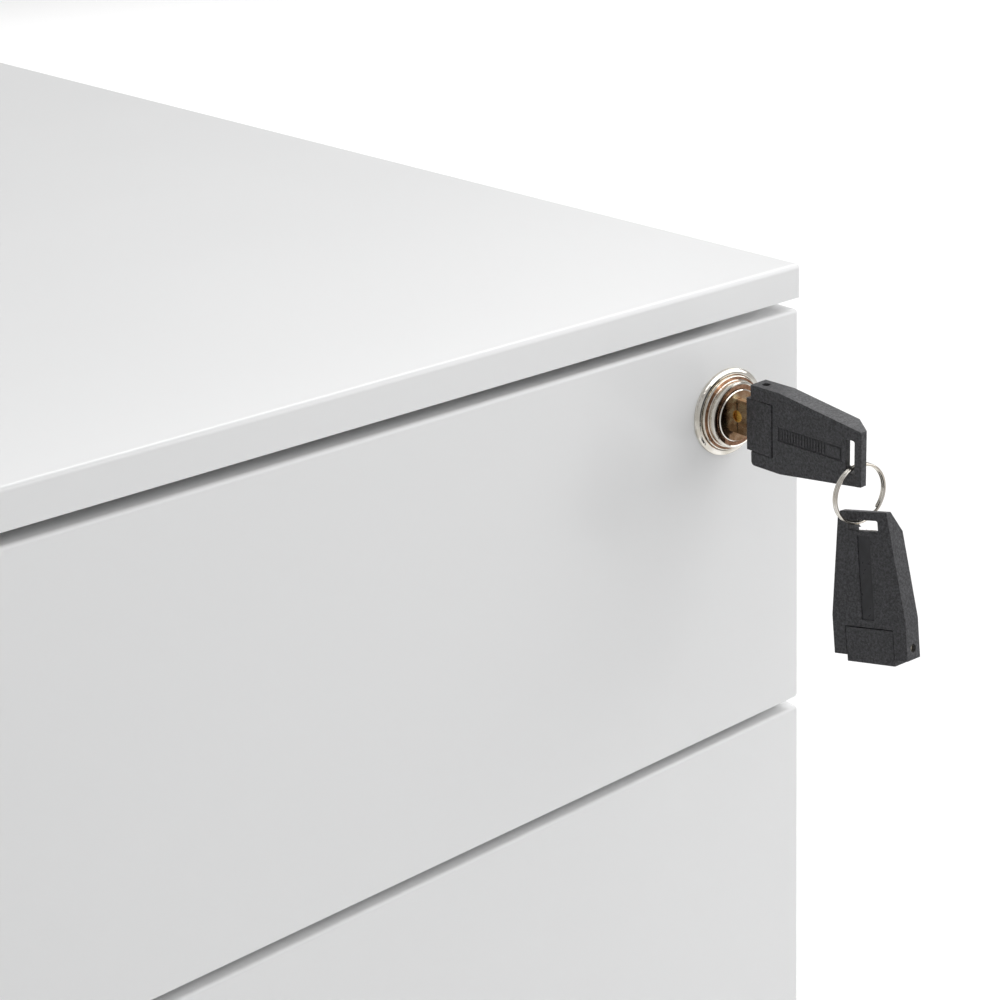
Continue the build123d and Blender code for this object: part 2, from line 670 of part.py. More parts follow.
def make_key_head(frame):
    half = HEAD_THICK / 2
    with BuildPart() as head:
        with BuildSketch(frame.offset(-half)):
            with BuildLine():
                Polyline(
                    (-HEAD_TIP, -HEAD_HALF),
                    (TAPER_START, -HEAD_HALF),
                    (HEAD_LENGTH, -HEAD_END_HALF),
                    (HEAD_LENGTH, HEAD_END_HALF),
                    (TAPER_START, HEAD_HALF),
                    (-HEAD_TIP, HEAD_HALF),
                    close=True,
                )
            make_face()
            along = vertices().sort_by(lambda v: (Vector(v) - frame.origin).dot(frame.x_dir))
            fillet(along[-2:], CORNER)
            fillet(along[:2], TIP_CORNER)
            with Locations((-HEAD_TIP - 1, 0)):
                Rectangle(HEAD_TIP + 1, 2 * ARM_HALF, align=(Align.MIN, Align.CENTER),
                          mode=Mode.SUBTRACT)
            with Locations((SLOT_PLACE, 0)):
                RectangleRounded(SLOT_WIDE, SLOT_LONG, SLOT_CORNER, mode=Mode.SUBTRACT)
        extrude(amount=HEAD_THICK)
        # the fork's root is hollow, so that the block can turn in it
        across = Plane(origin=frame.origin, x_dir=frame.x_dir, z_dir=frame.y_dir)
        with BuildSketch(across):
            Circle(FORK_ROOT)
        extrude(amount=ARM_HALF, both=True, mode=Mode.SUBTRACT)
        # the rear face falls away towards the ring end
        side_on = Plane(origin=frame.origin, x_dir=frame.x_dir, z_dir=-frame.y_dir)
        with BuildSketch(side_on):
            with BuildLine():
                Polyline(
                    (HEAD_LENGTH - BEVEL_LONG, -half),
                    (HEAD_LENGTH + 1, -half + (HEAD_THICK - END_THICK) * (1 + 1 / BEVEL_LONG)),
                    (HEAD_LENGTH + 1, -half - 1),
                    (HEAD_LENGTH - BEVEL_LONG, -half - 1),
                    close=True,
                )
            make_face()
        extrude(amount=HEAD_HALF + 1, both=True, mode=Mode.SUBTRACT)
        # blade groove in the rear face
        with BuildSketch(frame.offset(-half - 0.5)):
            Rectangle(BLADE_LENGTH + 0.4, 2 * GROOVE_HALF, align=(Align.MIN, Align.CENTER))
        extrude(amount=half + 0.5 + BLADE_THICK / 2 + 0.25, mode=Mode.SUBTRACT)
        # shallow panel in the plain face, left without any lettering
        with BuildSketch(frame.offset(half)):
            with Locations(((FORK_ROOT + SLOT_PLACE - SLOT_WIDE / 2) / 2, 0)):
                Rectangle(SLOT_PLACE - FORK_ROOT - 4.2, 2 * PANEL_HALF)
        extrude(amount=-PANEL_DEEP, mode=Mode.SUBTRACT)
        # pin hole right across
        with BuildSketch(across):
            Circle(PIN_HOLE)
        extrude(amount=HEAD_HALF + 1, both=True, mode=Mode.SUBTRACT)
    return head


def make_key_pin(frame):
    across = Plane(origin=frame.origin, x_dir=frame.x_dir, z_dir=frame.y_dir)
    with BuildPart() as pin:
        with BuildSketch(across):
            Circle(PIN_RADIUS)
        extrude(amount=HEAD_HALF - 0.7, both=True)
    return pin


def make_hinge_block(frame, folded):
    """Block in the fork that carries the blade. It turns over with it inside the fork."""
    way = 1 if folded else -1
    across = Plane(origin=frame.origin, x_dir=frame.x_dir, z_dir=frame.y_dir)
    with BuildPart() as block:
        with BuildSketch(across):
            RectangleRounded(2 * BLOCK_HALF, HEAD_THICK - 0.02, BLOCK_EDGE)
            Circle(PIN_HOLE, mode=Mode.SUBTRACT)
        extrude(amount=ARM_HALF - 0.15, both=True)
        with BuildSketch(frame.offset(-BLADE_THICK / 2)):
            with Locations((way * 2.0, 0)):
                Rectangle(6, 8.4, align=(Align.MIN if way > 0 else Align.MAX, Align.CENTER))
        extrude(amount=BLADE_THICK, mode=Mode.SUBTRACT)
    return block


# cut depths along the blade, from the shoulder to the tip
BITTING = [0.9, 1.7, 0.6, 1.4, 1.1]
BITTING_PITCH = 3.2
DIMPLE_RADIUS = 1.4
DIMPLE_DEEP = 0.3


def make_blade(frame, folded):
    way = 1 if folded else -1
    shoulder = PIN_OUT + OVERHANG - LOCK_REACH - 0.1
    with BuildPart() as blade:
        with BuildSketch(frame.offset(-BLADE_THICK / 2)):
            with BuildLine():
                tip = BLADE_LENGTH
                neck = BLOCK_HALF + 0.1
                upper = [(2.0, 4.2), (neck, 4.2), (neck, 5.2), (shoulder, 5.2), (shoulder, 3.8)]
                for i, cut in enumerate(BITTING):
                    at = shoulder + 2.4 + i * BITTING_PITCH
                    upper += [(at - 0.5 * cut, 3.8), (at, 3.8 - cut), (at + 0.5 * cut, 3.8)]
                upper += [(tip - 1.6, 3.8), (tip, 1.6)]
                lower = [(x, -y) for x, y in reversed(upper)]
                Polyline(*[(way * x, y) for x, y in upper + lower], close=True)
            make_face()
        extrude(amount=BLADE_THICK)
        # milled rib clearance along each face
        for face in (BLADE_THICK / 2 - 0.45, -BLADE_THICK / 2):
            with BuildSketch(frame.offset(face)):
                with Locations((way * (shoulder + 1), 0.9)):
                    Rectangle(BLADE_LENGTH - shoulder + 1, 1.3,
                              align=(Align.MIN if way > 0 else Align.MAX, Align.CENTER))
            extrude(amount=0.45, mode=Mode.SUBTRACT)
        # half-round dimple in the plain face, just outside the plug
        with BuildSketch(frame.offset(BLADE_THICK / 2 - DIMPLE_DEEP)):
            with Locations((way * shoulder, 0)):
                Circle(DIMPLE_RADIUS)
        extrude(amount=DIMPLE_DEEP, mode=Mode.SUBTRACT)
    return blade


KEY_PIN = Vector(LOCK_X, FRONT_Y - PIN_OUT, LOCK_Z)
KEY_FRAME = Plane(origin=KEY_PIN, x_dir=(0, -1, 0), z_dir=(-1, 0, 0))
# the inserted key's head is folded over a little
KEY_BEND = 2.4
UPRIGHT = Axis((0, 0, 0), (0, 0, 1))
HEAD_FRAME = Plane(origin=KEY_PIN, x_dir=KEY_FRAME.x_dir.rotate(UPRIGHT, KEY_BEND),
                   z_dir=KEY_FRAME.z_dir.rotate(UPRIGHT, KEY_BEND))

# split ring: it hangs in the inserted key's slot, turned a little towards the left
RING_TURN = -8.0
RING_TILT = -0.95
RING_CENTRE = Vector(LOCK_X + 2.01, FRONT_Y - 49.81, LOCK_Z - 11.65)
RING_ALONG = Vector(1, 0, 0).rotate(UPRIGHT, RING_TURN)
RING_UP = Vector(0, 0, 1).rotate(Axis((0, 0, 0), RING_ALONG), RING_TILT)

# spare key: it hangs folded from the ring, plain face to the left
SPARE_TURN = -82.3
SPARE_LEAN = -8.5
SPARE_ROLL = 11.1
SPARE_PIN = Vector(LOCK_X - 1.29, FRONT_Y - 60.07, LOCK_Z - 52.85)


def spare_frame():
    across = Vector(1, 0, 0).rotate(UPRIGHT, SPARE_TURN)
    facing_out = Vector(0, -1, 0).rotate(UPRIGHT, SPARE_TURN)
    lean = Axis((0, 0, 0), across)
    facing_out = facing_out.rotate(lean, SPARE_LEAN)
    upward = Vector(0, 0, 1).rotate(lean, SPARE_LEAN)
    upward = upward.rotate(Axis((0, 0, 0), facing_out), SPARE_ROLL)
    return Plane(origin=SPARE_PIN, x_dir=upward, z_dir=facing_out)


SPARE_FRAME = spare_frame()


def make_split_ring():
    """Two touching turns of round wire, drawn as closed turns."""
    with BuildPart() as ring:
        with BuildSketch(Plane(origin=RING_CENTRE, x_dir=RING_ALONG, z_dir=RING_UP)):
            with Locations((RING_RADIUS, RING_PITCH / 2), (RING_RADIUS, -RING_PITCH / 2)):
                Circle(RING_WIRE)
        revolve(axis=Axis(RING_CENTRE, RING_ALONG.cross(RING_UP)))
    return ring


# ---------------------------------------------------------------- castors
HOOD_HALF = 17.5            # half width over the mudguard
WEB_HALF = 3.5              # half width of the web between the wheels
WHEEL_CLEAR = 1.2           # between the wheels and the hood
AXLE_RADIUS = 3.0
# half section of a wheel as (radius, distance from the castor's middle)
WHEEL_PROFILE = [(3.05, 4.3), (8.0, 4.3), (9.0, 5.0), (19.0, 5.0), (20.6, 4.6), (21.6, 5.2),
                 (22.0, 7.0), (22.0, 14.0), (21.6, 15.6), (20.4, 16.6), (18.5, 16.6),
                 (16.5, 15.4), (9.0, 14.6), (8.0, 15.6), (3.05, 15.6)]


def make_castor_hood(x, y):
    """Swivelling body: a central web, a mudguard over both wheels and a swivel boss."""
    axle_y = y + CASTOR_TRAIL
    with BuildPart() as hood:
        with BuildSketch(seen_from_right(x - HOOD_HALF)):
            with Locations((axle_y, WHEEL_RADIUS)):
                Circle(WHEEL_RADIUS + 3.4)
                Circle(WHEEL_RADIUS + WHEEL_CLEAR, mode=Mode.SUBTRACT)
                Rectangle(80, 40, align=(Align.CENTER, Align.MAX), mode=Mode.SUBTRACT)
        extrude(amount=2 * HOOD_HALF)
        with BuildSketch(seen_from_right(x - WEB_HALF)):
            with Locations((axle_y, WHEEL_RADIUS)):
                Circle(WHEEL_RADIUS + 2)
                with Locations((0, -8)):
                    Rectangle(80, 40, align=(Align.CENTER, Align.MAX), mode=Mode.SUBTRACT)
        extrude(amount=2 * WEB_HALF)
        with BuildSketch(Plane.XY.offset(WHEEL_RADIUS + 16)):
            with Locations((x, y)):
                Circle(10)
        extrude(amount=BASE_Z - CASTOR_PLATE - 1.0 - WHEEL_RADIUS - 16)
        # the boss and the web leave the space of the wheels free
        with BuildSketch(seen_from_right(x + WEB_HALF)):
            with Locations((axle_y, WHEEL_RADIUS)):
                Circle(WHEEL_RADIUS + WHEEL_CLEAR)
        extrude(amount=20, mode=Mode.SUBTRACT)
        with BuildSketch(seen_from_right(x - WEB_HALF)):
            with Locations((axle_y, WHEEL_RADIUS)):
                Circle(WHEEL_RADIUS + WHEEL_CLEAR)
        extrude(amount=-20, mode=Mode.SUBTRACT)
        with BuildSketch(Plane.XY.offset(BASE_Z - CASTOR_PLATE - 11)):
            with Locations((x, y)):
                Circle(4.05)
        extrude(amount=20, mode=Mode.SUBTRACT)
        with BuildSketch(seen_from_right(x - 20)):
            with Locations((axle_y, WHEEL_RADIUS)):
                Circle(AXLE_RADIUS)
        extrude(amount=40, mode=Mode.SUBTRACT)
    return hood


def make_castor_wheels(x, y):
    axle_y = y + CASTOR_TRAIL
    with BuildPart() as wheels:
        for s in (-1, 1):
            with BuildSketch(Plane(origin=(x, axle_y, WHEEL_RADIUS), x_dir=(0, 0, 1),
                                   z_dir=(0, -1, 0))):
                with BuildLine():
                    Polyline(*[(r, -s * w) for r, w in WHEEL_PROFILE], close=True)
                make_face()
            revolve(axis=Axis((x, axle_y, WHEEL_RADIUS), (1, 0, 0)))
    return wheels


def make_castor_axle(x, y):
    with BuildPart() as axle:
        with BuildSketch(seen_from_right(x)):
            with Locations((y + CASTOR_TRAIL, WHEEL_RADIUS)):
                Circle(AXLE_RADIUS)
        extrude(amount=17, both=True)
    return axle


# ---------------------------------------------------------------- build and write
right = make_side_panel()
with BuildPart() as left:
    mirror(right.part, about=Plane.YZ)

pieces = {
    "top_panel": make_top_panel(),
    "side_panel_left": left,
    "side_panel_right": cut_lock_window(right),
    "back_panel": make_back_panel(),
    "base_panel": make_base_panel(),
    "cross_rails": make_cross_rails(),
    "runner_uprights": make_runner_uprights(),
    "castor_plates": make_castor_plates(),
    "front_buffers": make_buffers(),
    "carcass_screws": make_screws(),
    "lock_bar": make_lock_bar(),
    "lock_bar_guides": make_bar_guides(),
    "lock_housing": make_housing(),
    "lock_rosette": make_rosette(),
    "lock_nut": make_lock_nut(),
    "lock_plug": make_plug(),
    "lock_cam": make_cam(),
    "lock_cam_screw": make_cam_screw(),
    "pencil_tray": make_pencil_tray(),
    "hanging_file_rails": make_hanging_rails(),
    "split_ring": make_split_ring(),
}

screw_ys = [y + UPRIGHT_WIDE / 2 for y in UPRIGHT_YS]
pieces["runner_fixed_members"] = make_runner(
    BOTTOMS, RUNNER_X, FIXED_FLANGE, RUNNER_HEIGHT / 2, True, screw_ys)
for number, (bottom, height, wall) in enumerate(FRONTS, start=1):
    locked = number == 1
    pieces[f"runner_middle_members_{number}"] = make_runner(
        [bottom], RUNNER_X - MIDDLE_INSET, MIDDLE_FLANGE, MIDDLE_HALF, True)
    pieces[f"runner_drawer_members_{number}"] = make_runner(
        [bottom], DRAWER_HALF + DRAWER_FLANGE, DRAWER_FLANGE, DRAWER_MEMBER_HALF, False)
    pieces[f"drawer_front_{number}"] = make_front(bottom, height, locked)
    pieces[f"drawer_liner_{number}"] = make_liner(bottom, height, locked)
    pieces[f"drawer_body_{number}"] = make_body(bottom, wall, number < 3)
    pieces[f"drawer_catch_{number}"] = make_catch(bottom)

for prefix, grip, shank, folded in (("key", HEAD_FRAME, KEY_FRAME, False),
                                    ("spare_key", SPARE_FRAME, SPARE_FRAME, True)):
    pieces[f"{prefix}_head"] = make_key_head(grip)
    pieces[f"{prefix}_pin"] = make_key_pin(grip)
    pieces[f"{prefix}_hinge_block"] = make_hinge_block(shank, folded)
    pieces[f"{prefix}_blade"] = make_blade(shank, folded)

for place, (x, y) in zip(("front_left", "front_right", "rear_left", "rear_right"),
                         castor_places()):
    pieces[f"castor_hood_{place}"] = make_castor_hood(x, y)
    pieces[f"castor_wheels_{place}"] = make_castor_wheels(x, y)
    pieces[f"castor_axle_{place}"] = make_castor_axle(x, y)

for name, piece in pieces.items():
    piece.part.label = name
    export_step(piece.part, f"parts/{name}.step")
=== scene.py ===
import json
import math

import bmesh
import bpy
from mathutils import Matrix, Vector


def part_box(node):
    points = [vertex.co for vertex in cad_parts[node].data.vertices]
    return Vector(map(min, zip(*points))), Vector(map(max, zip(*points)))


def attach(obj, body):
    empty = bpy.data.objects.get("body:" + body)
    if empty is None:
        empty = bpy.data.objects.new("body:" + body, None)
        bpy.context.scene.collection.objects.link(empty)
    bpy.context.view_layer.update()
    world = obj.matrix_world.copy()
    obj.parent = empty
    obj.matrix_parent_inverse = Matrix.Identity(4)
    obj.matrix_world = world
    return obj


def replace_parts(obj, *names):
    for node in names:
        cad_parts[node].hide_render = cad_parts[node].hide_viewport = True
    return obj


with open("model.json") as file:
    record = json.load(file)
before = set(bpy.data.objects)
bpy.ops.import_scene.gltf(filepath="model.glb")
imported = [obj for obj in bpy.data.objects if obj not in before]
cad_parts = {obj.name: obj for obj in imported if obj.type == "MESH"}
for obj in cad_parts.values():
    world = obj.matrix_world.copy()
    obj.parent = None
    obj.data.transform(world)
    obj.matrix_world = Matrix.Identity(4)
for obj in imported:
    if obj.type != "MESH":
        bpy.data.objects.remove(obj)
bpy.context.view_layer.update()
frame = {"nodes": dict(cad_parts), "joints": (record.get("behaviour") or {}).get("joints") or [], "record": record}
nodes = frame["nodes"]
joints = {joint["name"]: joint for joint in frame["joints"]}

MM = 0.001

# ---------------------------------------------------------------- places taken from the frame
top_low, top_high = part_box("top_panel")
CORNER = Vector((top_high.x, top_low.y, top_high.z))      # top panel, front right upper corner
KEY_PIN = Vector(joints["key_fold"]["pos_m"])
RING_ALONG = Vector(joints["ring_swing"]["axis"]).normalized()
ring_low, ring_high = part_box("split_ring")
RING_CENTRE = (ring_low + ring_high) / 2
SPARE_PIN = Vector(joints["spare_fold"]["pos_m"])
PLUG_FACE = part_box("lock_plug")[0].y


# ---------------------------------------------------------------- camera
# where the camera stands, from the corner of the top panel: to the left, in front and above
CAMERA_OFFSET = Vector((-0.36722, -0.36449, 0.14248))
CAMERA_YAW = math.radians(38.34)          # to the right of +Y
CAMERA_PITCH = math.radians(22.65)        # below the horizon
CAMERA_ROLL = math.radians(-2.55)
CAMERA_LENS = 65.235                      # for a 36 mm sensor
CAMERA_SHIFT = -0.10                      # the frame sits off the lens axis


def make_camera():
    data = bpy.data.cameras.new("camera")
    data.lens = CAMERA_LENS
    data.sensor_width = 36
    data.shift_x = CAMERA_SHIFT
    data.clip_start = 0.02
    data.clip_end = 60
    data.dof.use_dof = False
    camera = bpy.data.objects.new("camera", data)
    bpy.context.scene.collection.objects.link(camera)
    look = Vector((
        math.sin(CAMERA_YAW) * math.cos(CAMERA_PITCH),
        math.cos(CAMERA_YAW) * math.cos(CAMERA_PITCH),
        -math.sin(CAMERA_PITCH),
    ))
    level = look.to_track_quat("-Z", "Y").to_matrix().to_4x4()
    camera.matrix_world = (
        Matrix.Translation(CORNER + CAMERA_OFFSET) @ level @ Matrix.Rotation(CAMERA_ROLL, 4, "Z")
    )
    bpy.context.scene.camera = camera


# ---------------------------------------------------------------- light and floor
WORLD_STRENGTH = 0.48
# the studio's brightness by the sine of the height above the horizon
SKY = (
    (0.00, (0.55, 0.53, 0.50)),
    (0.06, (0.16, 0.13, 0.11)),
    (0.20, (0.20, 0.18, 0.16)),
    (0.26, (0.90, 0.90, 0.90)),
    (0.52, (0.72, 0.72, 0.73)),
    (0.60, (1.0, 1.0, 1.0)),
)
FLOOR_HALF = 16.0                         # half the floor's side
FLOOR_FLAT = 9.0                          # it is flat within this distance and then curves up
FLOOR_CURVE = 0.09


def set_stops(ramp, stops):
    """Set a colour ramp to (position, colour) stops."""
    while len(ramp.elements) < len(stops):
        ramp.elements.new(0.5)
    for element, (position, color) in zip(ramp.elements, stops):
        element.position = position
        element.color = (*color, 1)


def make_world():
    """Soft white studio: bright overhead, with a dark band of surroundings above the horizon."""
    world = bpy.data.worlds.new("studio")
    bpy.context.scene.world = world
    world.use_nodes = True
    tree = world.node_tree
    tree.nodes.clear()
    out = tree.nodes.new("ShaderNodeOutputWorld")
    back = tree.nodes.new("ShaderNodeBackground")
    coords = tree.nodes.new("ShaderNodeTexCoord")
    split = tree.nodes.new("ShaderNodeSeparateXYZ")
    ramp = tree.nodes.new("ShaderNodeValToRGB")
    tree.links.new(coords.outputs["Generated"], split.inputs[0])
    tree.links.new(split.outputs["Z"], ramp.inputs[0])
    tree.links.new(ramp.outputs[0], back.inputs[0])
    tree.links.new(back.outputs[0], out.inputs[0])
    set_stops(ramp.color_ramp, SKY)
    back.inputs[1].default_value = WORLD_STRENGTH


def area_light(name, place, target, size, power):
    """Square softbox that stands at a place and faces a target. The camera doesn't see it."""
    data = bpy.data.lights.new(name, "AREA")
    data.shape = "SQUARE"
    data.size = size
    data.energy = power
    lamp = bpy.data.objects.new(name, data)
    bpy.context.scene.collection.objects.link(lamp)
    lamp.visible_camera = False
    lamp.location = place
    lamp.rotation_mode = "QUATERNION"
    lamp.rotation_quaternion = (Vector(target) - Vector(place)).to_track_quat("-Z", "Y")


def make_lights():
    """Softboxes overhead, on the right, in front, and a large one over the floor behind."""
    area_light("overhead", (0.9, 0.3, 2.2), (0.1, 0.1, 0.6), 1.6, 6)
    area_light("right_fill", (0.60, -0.75, 0.95), (0.15, -0.26, 0.45), 0.8, 3.4)
    area_light("front_fill", (0.15, -1.1, 1.25), (0.15, -0.26, 0.5), 0.5, 1.1)
    area_light("background", (2.4, 2.8, 3.0), (2.4, 2.8, 0.0), 5.0, 135)


def make_floor():
    """Large pale floor that curves up to a low wall far away, so no edge shows."""
    mesh = bpy.data.meshes.new("floor")
    shape = bmesh.new()
    bmesh.ops.create_grid(shape, x_segments=24, y_segments=24, size=FLOOR_HALF)
    for vert in shape.verts:
        far = max(0.0, vert.co.length - FLOOR_FLAT)
        vert.co.z = FLOOR_CURVE * far * far
    for face in shape.faces:
        face.smooth = True
    shape.to_mesh(mesh)
    shape.free()
    floor = bpy.data.objects.new("floor", mesh)
    bpy.context.scene.collection.objects.link(floor)
    mesh.materials.append(floor_material())


# ---------------------------------------------------------------- materials
class Shader:
    """A material with a Principled shader and short helpers for its nodes."""

    def __init__(self, name, color, roughness, metallic=0.0):
        self.material = bpy.data.materials.new(name)
        self.material.use_nodes = True
        self.tree = self.material.node_tree
        self.base = self.tree.nodes["Principled BSDF"]
        self.set("Base Color", (*color, 1))
        self.set("Roughness", roughness)
        self.set("Metallic", metallic)
        self.coords = self.tree.nodes.new("ShaderNodeTexCoord").outputs["Object"]

    def set(self, socket, value):
        self.base.inputs[socket].default_value = value

    def link(self, source, target):
        self.tree.links.new(source, target)

    def stretch(self, scale):
        """Object coordinates with a scale of its own along each axis."""
        mapping = self.tree.nodes.new("ShaderNodeMapping")
        mapping.inputs["Scale"].default_value = scale
        self.link(self.coords, mapping.inputs["Vector"])
        return mapping.outputs["Vector"]

    def noise(self, scale, detail=2.0, rough=0.5, coords=None):
        node = self.tree.nodes.new("ShaderNodeTexNoise")
        node.inputs["Scale"].default_value = scale
        node.inputs["Detail"].default_value = detail
        node.inputs["Roughness"].default_value = rough
        self.link(coords or self.coords, node.inputs["Vector"])
        return node.outputs["Fac"]

    def cells(self, scale, coords=None):
        node = self.tree.nodes.new("ShaderNodeTexVoronoi")
        node.inputs["Scale"].default_value = scale
        self.link(coords or self.coords, node.inputs["Vector"])
        return node

    def spread(self, source, low, high, start=0.0, end=1.0):
        """Map a value from start..end to low..high."""
        node = self.tree.nodes.new("ShaderNodeMapRange")
        node.inputs["From Min"].default_value = start
        node.inputs["From Max"].default_value = end
        node.inputs["To Min"].default_value = low
        node.inputs["To Max"].default_value = high
        self.link(source, node.inputs["Value"])
        return node.outputs["Result"]

    def tones(self, source, *stops):
        """Colour ramp with (position, colour) stops."""
        node = self.tree.nodes.new("ShaderNodeValToRGB")
        set_stops(node.color_ramp, stops)
        self.link(source, node.inputs["Fac"])
        return node.outputs["Color"]

    def vary(self, socket, source, low, high, start=0.3, end=0.7):
        self.link(self.spread(source, low, high, start, end), self.base.inputs[socket])

    def paint(self, source, *stops):
        self.link(self.tones(source, *stops), self.base.inputs["Base Color"])

    def bump(self, source, strength, distance):
        """Add a bump on top of any that are already there."""
        node = self.tree.nodes.new("ShaderNodeBump")
        node.inputs["Strength"].default_value = strength
        node.inputs["Distance"].default_value = distance
        self.link(source, node.inputs["Height"])
        before = self.base.inputs["Normal"].links
        if before:
            self.link(before[0].from_socket, node.inputs["Normal"])
        self.link(node.outputs["Normal"], self.base.inputs["Normal"])

    def facing_front(self, low, high):
        """0 to 1 where the surface faces -Y, for normals between the two cosines."""
        shape = self.tree.nodes.new("ShaderNodeNewGeometry")
        split = self.tree.nodes.new("ShaderNodeSeparateXYZ")
        self.link(shape.outputs["True Normal"], split.inputs[0])
        return self.spread(split.outputs["Y"], 1.0, 0.0, -high, -low)

    def near(self, place, inner, outer):
        """1 within the inner distance of a place, 0 beyond the outer one."""
        gap = self.tree.nodes.new("ShaderNodeVectorMath")
        gap.operation = "DISTANCE"
        gap.inputs[1].default_value = place
        self.link(self.coords, gap.inputs[0])
        return self.spread(gap.outputs["Value"], 1.0, 0.0, inner, outer)

    def blend(self, factor, first, second):
        """Mix two colours, each a socket or a tuple."""
        node = self.tree.nodes.new("ShaderNodeMix")
        node.data_type = "RGBA"
        self.link(factor, node.inputs["Factor"])
        for socket, color in ((node.inputs[6], first), (node.inputs[7], second)):
            if isinstance(color, tuple):
                socket.default_value = (*color, 1)
            else:
                self.link(color, socket)
        return node.outputs[2]

    def soft_edges(self, radius):
        """Shade sharp edges as if they were rounded by this radius."""
        node = self.tree.nodes.new("ShaderNodeBevel")
        node.inputs["Radius"].default_value = radius
        node.samples = 6
        self.link(node.outputs["Normal"], self.base.inputs["Normal"])


def grey(value):
    return (value, value, value)


def powder_coat():
    """White semi-gloss powder coat: a fine orange peel and very slight tone changes."""
    coat = Shader("white_powder_coat", grey(0.78), 0.34)
    coat.paint(coat.noise(5.0, 2), (0.1, (0.772, 0.776, 0.778)), (0.9, (0.786, 0.788, 0.788)))
    coat.vary("Roughness", coat.noise(9.0, 2), 0.26, 0.33, 0.1, 0.9)
    coat.bump(coat.noise(620.0, 2), 0.10, 0.00003)
    coat.set("Specular IOR Level", 0.5)
    coat.set("Coat Weight", 0.5)
    coat.set("Coat Roughness", 0.13)
    return coat.material


def zinc():
    """Bright zinc plate: faint rolled streaks along the part and cloudy spangle."""
    metal = Shader("zinc_steel", grey(0.6), 0.3, 1.0)
    metal.paint(metal.noise(70.0, 3), (0.3, (0.50, 0.51, 0.53)), (0.7, (0.66, 0.67, 0.67)))
    streaks = metal.noise(40.0, 5, 0.7, metal.stretch((40, 1, 40)))
    metal.vary("Roughness", streaks, 0.22, 0.42)
    metal.bump(streaks, 0.12, 0.00003)
    return metal.material


def nickel():
    """Polished nickel. Its front-facing flats are painted brown as a painted reflection of the room, the rest is
    pale.
    """
    metal = Shader("bright_nickel", (0.80, 0.77, 0.72), 0.08, 1.0)
    pale = metal.tones(metal.noise(240.0, 3), (0.35, (0.64, 0.60, 0.53)),
                       (0.65, (0.86, 0.83, 0.77)))
    # painted reflection: brown tones on the front-facing flats stand in for the room mirrored in them
    brown = metal.tones(metal.noise(900.0, 3), (0.3, (0.20, 0.105, 0.06)),
                        (0.7, (0.40, 0.235, 0.155)))
    flat = metal.facing_front(0.985, 0.997)
    metal.link(metal.blend(flat, pale, brown), metal.base.inputs["Base Color"])
    marks = metal.noise(1500.0, 4, 0.75)
    metal.vary("Roughness", marks, 0.05, 0.17)
    metal.bump(metal.noise(420.0, 2), 0.35, 0.00025)
    metal.bump(marks, 0.1, 0.00001)
    return metal.material


def brass():
    """Polished plug: its front-facing face is painted brown and olive as a painted reflection of the room, with a
    bright, pale bevelled rim.
    """
    metal = Shader("lock_brass", (0.72, 0.55, 0.30), 0.2, 1.0)
    # painted reflection: brown and olive tones on the front-facing face stand in for the room mirrored in the
    # polished plug
    clouds = metal.noise(520.0, 4)
    painted_reflection_tones = metal.tones(clouds, (0.3, (0.19, 0.12, 0.06)), (0.5, (0.33, 0.20, 0.12)),
                       (0.75, (0.50, 0.44, 0.30)))
    flat = metal.facing_front(0.97, 0.995)
    metal.link(metal.blend(flat, (0.86, 0.83, 0.76), painted_reflection_tones), metal.base.inputs["Base Color"])
    metal.vary("Roughness", metal.noise(1200.0, 3), 0.06, 0.16)
    metal.bump(metal.noise(2500.0, 3), 0.08, 0.00001)
    return metal.material


DIMPLE_HEIGHT = 0.7 * MM                  # dimple's floor over the middle of the blade
DIMPLE_AHEAD = 0.1 * MM                   # its middle ahead of the plug's face
DIMPLE_RADIUS = 1.7 * MM


def key_steel():
    """Nickel-plated key blank, milled along its length, with a gold dimple outside the plug."""
    metal = Shader("key_steel", (0.72, 0.69, 0.62), 0.22, 1.0)
    plate = metal.tones(metal.noise(300.0, 3), (0.3, (0.36, 0.33, 0.26)), (0.7, (0.54, 0.50, 0.42)))
    dimple = Vector((KEY_PIN.x - DIMPLE_HEIGHT, PLUG_FACE - DIMPLE_AHEAD, KEY_PIN.z))
    gold = metal.near(dimple, DIMPLE_RADIUS, DIMPLE_RADIUS + 0.15 * MM)
    metal.link(metal.blend(gold, plate, (0.92, 0.58, 0.13)), metal.base.inputs["Base Color"])
    metal.link(metal.spread(gold, 1.0, 0.3), metal.base.inputs["Metallic"])
    lines = metal.noise(900.0, 3, 0.6, metal.stretch((1, 0.12, 1)))
    metal.vary("Roughness", lines, 0.14, 0.32)
    metal.bump(lines, 0.15, 0.00002)
    return metal.material


def key_plastic():
    """Black moulded grip with a spark-eroded grain and softened edges."""
    plastic = Shader("key_plastic", (0.030, 0.030, 0.033), 0.55)
    plastic.soft_edges(0.35 * MM)
    grain = plastic.cells(2600.0).outputs["Distance"]
    plastic.paint(plastic.noise(1500.0, 4, 0.75), (0.40, (0.012, 0.012, 0.014)),
                  (0.66, (0.070, 0.070, 0.076)))
    plastic.vary("Roughness", plastic.noise(900.0, 2), 0.42, 0.58)
    plastic.bump(grain, 0.6, 0.00008)
    plastic.bump(plastic.noise(1500.0, 2), 0.3, 0.00005)
    return plastic.material


def smooth_plastic():
    """The same plastic where the mould is polished: darker and smoother."""
    plastic = Shader("smooth_plastic", (0.014, 0.014, 0.017), 0.32)
    plastic.paint(plastic.noise(400.0, 3), (0.3, (0.010, 0.010, 0.012)),
                  (0.7, (0.019, 0.019, 0.023)))
    plastic.vary("Roughness", plastic.noise(700.0, 3), 0.26, 0.40)
    plastic.bump(plastic.noise(900.0, 2), 0.15, 0.00003)
    return plastic.material


